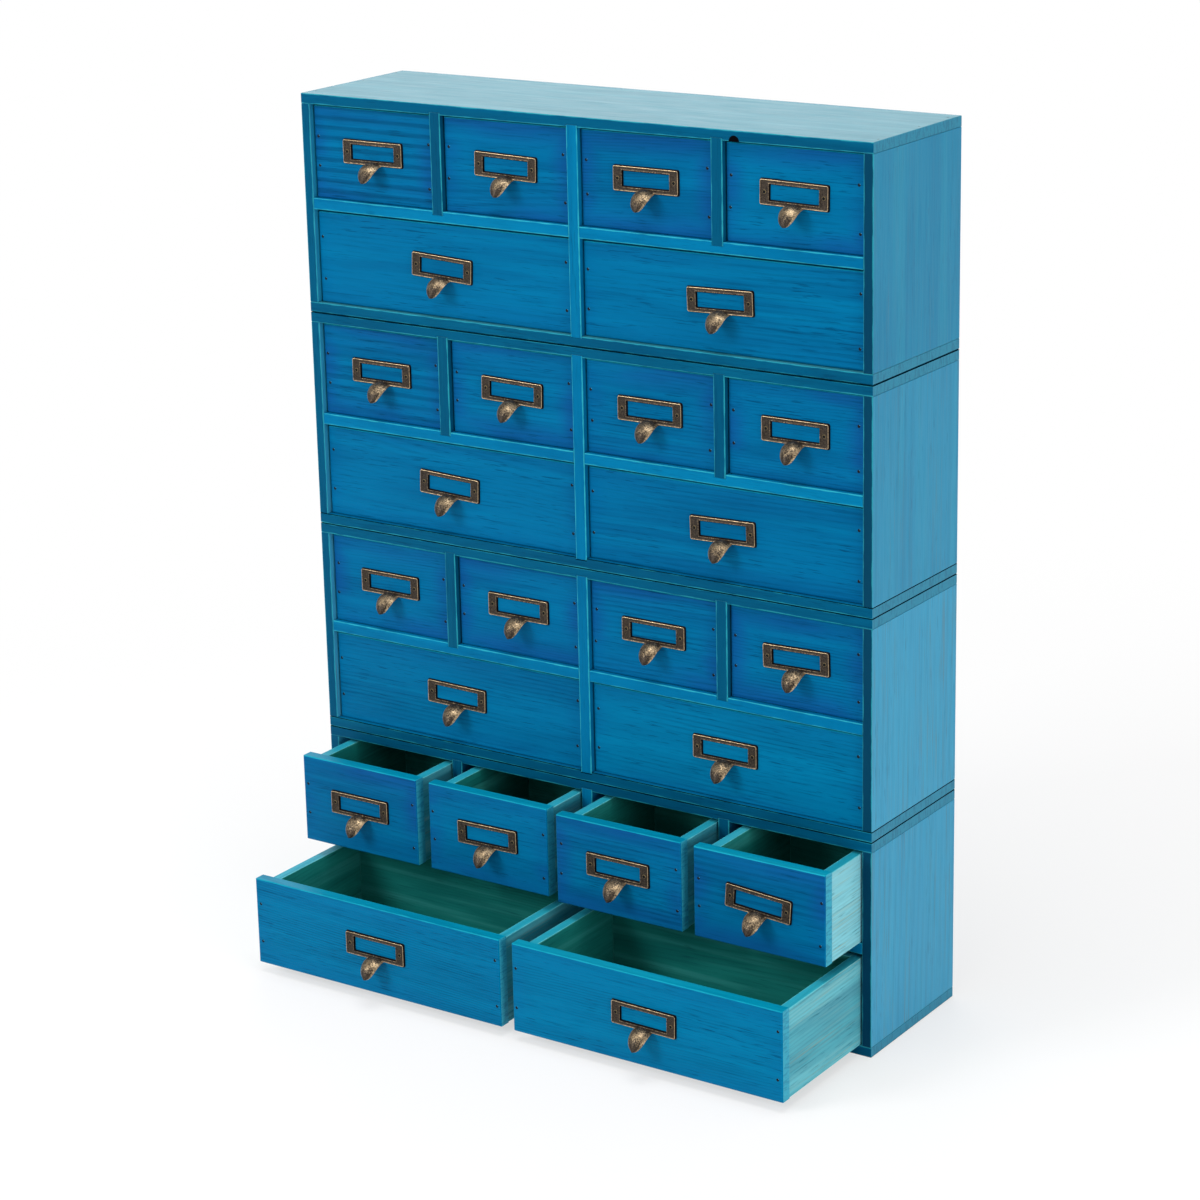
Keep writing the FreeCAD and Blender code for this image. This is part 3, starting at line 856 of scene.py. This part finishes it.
def add_knot(case, body):
    """The dark half of a knot, cut through by the lower front edge of the top board."""
    low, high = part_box(case)
    shape = bmesh.new()
    edge = Vector((KNOT_ACROSS, low.y - KNOT_PROUD, high.z - DECK_THICKNESS))
    turns = [step * math.pi / KNOT_STEPS for step in range(KNOT_STEPS + 1)]
    rim = [edge + Vector((math.cos(t) * KNOT_RADIUS, 0, math.sin(t) * KNOT_RADIUS)) for t in turns]
    front = [shape.verts.new(point) for point in rim]
    back = [shape.verts.new(point + Vector((0, 2 * KNOT_PROUD, 0))) for point in rim]
    shape.faces.new(front)
    shape.faces.new(reversed(back))
    for i in range(len(front)):
        j = (i + 1) % len(front)
        shape.faces.new((front[i], back[i], back[j], front[j]))
    metal_piece(case.replace("_case", "_knot"), shape, [KNOT], body)
    shape.free()


# ---------------------------------------------------------------- the object
def build_drawer(node, body):
    """A drawer's boards and brads."""
    kind = "small" if "small" in node else "wide"
    ridges = RIDGED.get(node, 0.0)
    low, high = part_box(node)
    thin = chance.uniform(*THIN_COAT["bottom" if low.z < BOX_PITCH else "others"][kind])
    thin += EXTRA_THIN.get(node, 0.0)
    thin_tray = PALE_TRAYS.get(node, TRAY_THIN)
    node_piece(node, body,
               dress_drawer_board((low + high) / 2, ridges, thin, thin_tray, BLOOM[kind]))
    dress_brads(node, body, kind, low, high)


def build_object():
    """Dresses every node of the frame on its own body."""
    sample_low, sample_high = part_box("box_1_small_drawer_1_pull")
    reach = (sample_high.y - sample_low.y - LIP_ROOT_DEPTH) / math.sin(LIP_END * LIP_SWEEP)
    casting = holder_shape((sample_high.x - sample_low.x) / 2, reach)
    for body, nodes in frame["record"]["behaviour"]["bodies"].items():
        for node in nodes:
            if node.endswith("_pull"):
                dress_holder(node, body, casting, HOLDER_TILT.get(node, 0))
            elif "drawer" in node:
                build_drawer(node, body)
            else:
                node_piece(node, body, dress_case_board)
            if node.endswith("_case"):
                dress_top_nails(node, body)
    add_knot("box_4_case", "box_4")
    casting.free()


build_object()


# ---------------------------------------------------------------- floor, light and camera
FLOOR_SIZE, FLOOR_COLOUR = 30, (0.86, 0.86, 0.86, 1)
FLOOR_DROP = 0.2 * MM                   # below the object, so that the two share no plane
FLOOR_GLOW, FLOOR_FADE = 0.6, (0.6, 1.6)   # its own light close by, and the metres in which that grows to 1
WORLD_STRENGTH = 0.5
MIRRORED_SHARE = 0.6                    # how much of the white background shows in reflections
LAMP_TARGET = (0, 0, 0.43)
LAMPS = (                               # name, place, size, power, and whether the camera sees it
    ("key", (-1.7, -2.7, 2.0), 1.3, 60, True),
    ("side", (3.0, -0.8, 0.5), 1.6, 46, True),
    ("top", (0.2, -0.4, 3.0), 1.6, 40, True),
    ("sheen", (-2.3, 3.3, 2.0), 2.4, 50, False),
)
CAMERA_PLACE = Vector((1.6813, -2.5274, 1.3378))
CAMERA_YAW, CAMERA_PITCH, CAMERA_ROLL = 0.5960, 0.2882, -0.0219
IMAGE_WIDTH = 1200
FOCAL_PIXELS = 3273.6
SENSOR_WIDTH = 36
CLIP = (0.05, 100)
SHIFT_DOWN = 60                         # pixels from the middle of the image up to the optical axis


def pale_floor():
    """A white floor that shows the object's shadow close by and fades to plain white further out."""
    made = Surface("floor_white")
    made.shader.inputs["Base Color"].default_value = FLOOR_COLOUR
    made.shader.inputs["Roughness"].default_value = 0.9
    made.shader.inputs["Specular IOR Level"].default_value = 0.0
    path = made.node("ShaderNodeLightPath").outputs
    seen = made.value("MAXIMUM", path["Is Camera Ray"], path["Is Glossy Ray"])
    glow = made.node("ShaderNodeEmission", {"Color": WHITE, "Strength": 1.0}).outputs[0]
    away = made.vector("LENGTH", made.node("ShaderNodeNewGeometry").outputs["Position"], (0, 0, 0))
    share = made.value("MULTIPLY", seen, made.span(away, *FLOOR_FADE, FLOOR_GLOW, 1.0))
    mixed = made.node("ShaderNodeMixShader", {0: share, 1: made.shader.outputs[0], 2: glow})
    made.join(mixed.outputs[0], made.tree.nodes["Material Output"].inputs["Surface"])
    mesh = bpy.data.meshes.new("floor")
    half = FLOOR_SIZE / 2
    mesh.from_pydata([(-half, -half, 0), (half, -half, 0), (half, half, 0), (-half, half, 0)], [],
                     [(0, 1, 2, 3)])
    mesh.materials.append(made.material)
    floor = bpy.data.objects.new("floor", mesh)
    floor.location.z = -FLOOR_DROP
    bpy.context.scene.collection.objects.link(floor)


def world_light():
    """Even light all round, behind a background that looks white."""
    world = bpy.data.worlds.new("studio")
    world.use_nodes = True
    tree = world.node_tree
    light = tree.nodes["Background"]
    light.inputs["Color"].default_value = WHITE
    light.inputs["Strength"].default_value = WORLD_STRENGTH
    white = tree.nodes.new("ShaderNodeBackground")
    white.inputs["Color"].default_value = WHITE
    white.inputs["Strength"].default_value = 1.0
    path = tree.nodes.new("ShaderNodeLightPath")
    mirrored = tree.nodes.new("ShaderNodeMath")
    mirrored.operation = "MULTIPLY"
    mirrored.inputs[1].default_value = MIRRORED_SHARE
    tree.links.new(path.outputs["Is Glossy Ray"], mirrored.inputs[0])
    seen = tree.nodes.new("ShaderNodeMath")
    seen.operation = "MAXIMUM"
    tree.links.new(path.outputs["Is Camera Ray"], seen.inputs[0])
    tree.links.new(mirrored.outputs[0], seen.inputs[1])
    mix = tree.nodes.new("ShaderNodeMixShader")
    tree.links.new(seen.outputs[0], mix.inputs[0])
    tree.links.new(light.outputs[0], mix.inputs[1])
    tree.links.new(white.outputs[0], mix.inputs[2])
    tree.links.new(mix.outputs[0], tree.nodes["World Output"].inputs["Surface"])
    bpy.context.scene.world = world


def area_lamp(name, place, size, power, seen):
    """A square lamp that looks at the middle of the object."""
    data = bpy.data.lights.new(name, "AREA")
    data.shape = "SQUARE"
    data.size = size
    data.energy = power
    lamp = bpy.data.objects.new(name, data)
    lamp.location = place
    lamp.visible_camera = seen
    lamp.rotation_mode = "QUATERNION"
    lamp.rotation_quaternion = (Vector(LAMP_TARGET) - Vector(place)).to_track_quat("-Z", "Y")
    bpy.context.scene.collection.objects.link(lamp)


def camera():
    """A camera turned by yaw about +Z, tipped down by pitch and rolled about its own axis."""
    yaw, pitch, roll = CAMERA_YAW, CAMERA_PITCH, CAMERA_ROLL
    ahead = Vector((-math.sin(yaw) * math.cos(pitch), math.cos(yaw) * math.cos(pitch),
                    -math.sin(pitch)))
    level = Vector((math.cos(yaw), math.sin(yaw), 0))
    above = level.cross(ahead)
    right = level * math.cos(roll) + above * math.sin(roll)
    up = above * math.cos(roll) - level * math.sin(roll)
    data = bpy.data.cameras.new("camera")
    data.sensor_width = SENSOR_WIDTH
    data.lens = FOCAL_PIXELS / IMAGE_WIDTH * SENSOR_WIDTH
    data.shift_y = -SHIFT_DOWN / IMAGE_WIDTH
    data.clip_start, data.clip_end = CLIP
    eye = bpy.data.objects.new("camera", data)
    turn = Matrix((right, up, -ahead)).transposed().to_4x4()
    eye.matrix_world = Matrix.Translation(CAMERA_PLACE) @ turn
    bpy.context.scene.collection.objects.link(eye)
    bpy.context.scene.camera = eye


pale_floor()
world_light()
for lamp in LAMPS:
    area_lamp(*lamp)
camera()
bpy.context.scene.view_settings.view_transform = "Standard"
